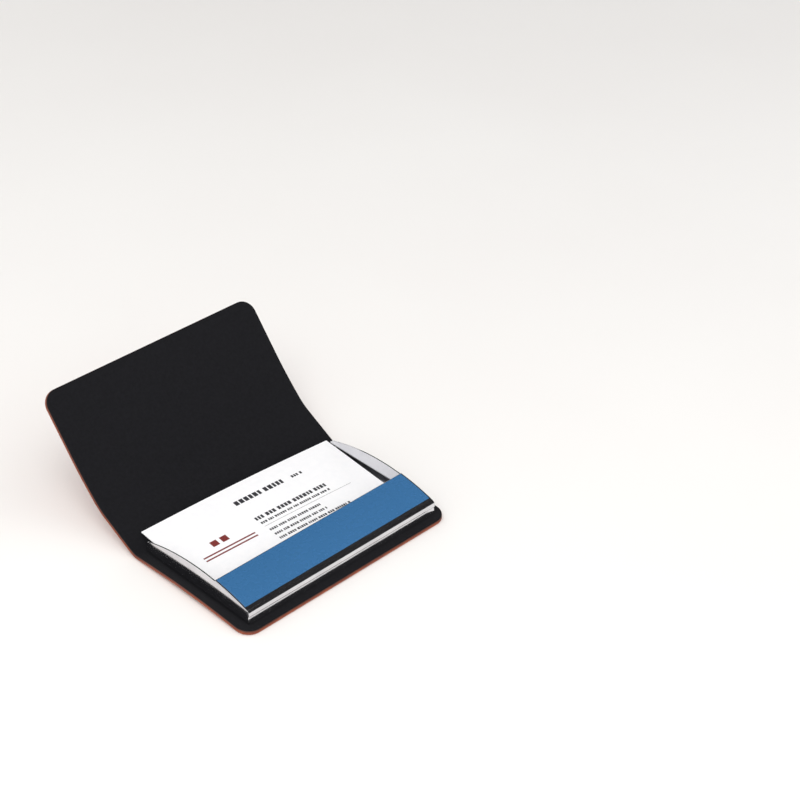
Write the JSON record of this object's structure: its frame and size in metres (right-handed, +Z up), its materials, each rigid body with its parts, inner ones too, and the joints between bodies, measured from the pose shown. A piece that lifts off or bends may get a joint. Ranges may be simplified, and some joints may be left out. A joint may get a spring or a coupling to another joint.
{
  "type": "business card case",
  "caption": "Flip business card case: curved soft cover hinged at a spine over a folded steel card tray with a front band, shown lying open with a card in it.",
  "frame": {"origin": "middle of the base panel's underside, on the surface the case lies on", "axes": "+X across the width, +Y from the front edge towards the spine, +Z up"},
  "size_m": [0.102, 0.1143, 0.0476],
  "materials": {
    "cover_leather": "semi-matte pebbled, edges turned in",
    "stiffener_board": "plain grey-brown board",
    "lining": "matte microfibre",
    "magnet_plating": "nickel plated",
    "tape": "double-sided adhesive tape",
    "tray_steel": "bright satin stainless",
    "band_steel": "mirror polished stainless",
    "protective_film": "thin satin blue film",
    "card_stock": "smooth coated card"
  },
  "bodies": {
    "base": {"base_leather": "cover_leather", "base_board": "stiffener_board", "base_lining": "lining", "tray_tape": "tape", "card_tray": "tray_steel", "front_band": "band_steel", "band_film": "protective_film", "base_fold_leather": "cover_leather", "base_fold_lining": "lining"},
    "spine": {"spine_leather": "cover_leather", "spine_strip": "stiffener_board", "spine_lining": "lining", "lid_fold_leather": "cover_leather", "lid_fold_lining": "lining"},
    "lid": {"lid_leather": "cover_leather", "lid_board": "stiffener_board", "lid_lining": "lining", "lid_magnets": "magnet_plating"},
    "card": {"business_card": "card_stock"}
  },
  "joints": [
    {"name": "spine_fold", "type": "hinge", "parent": "base", "child": "spine", "pos_m": [0, 0.032, 0.0007], "axis": [1, 0, 0], "range_deg": [-3, 56], "deforming": ["base_fold_leather", "base_fold_lining"]},
    {"name": "lid_fold", "type": "hinge", "parent": "spine", "child": "lid", "pos_m": [0, 0.0395, 0.0044], "axis": [1, 0, 0], "range_deg": [-28, 74.5], "deforming": ["lid_fold_leather", "lid_fold_lining"]},
    {"name": "card_slide", "type": "slide", "parent": "base", "child": "card", "axis": [0, 1, 0], "range_m": [-0.0085, 0.0005]}
  ],
  "couplings": [
    {"joint": "card_slide", "follows": "spine_fold", "m_per_rad": -0.0086}
  ]
}
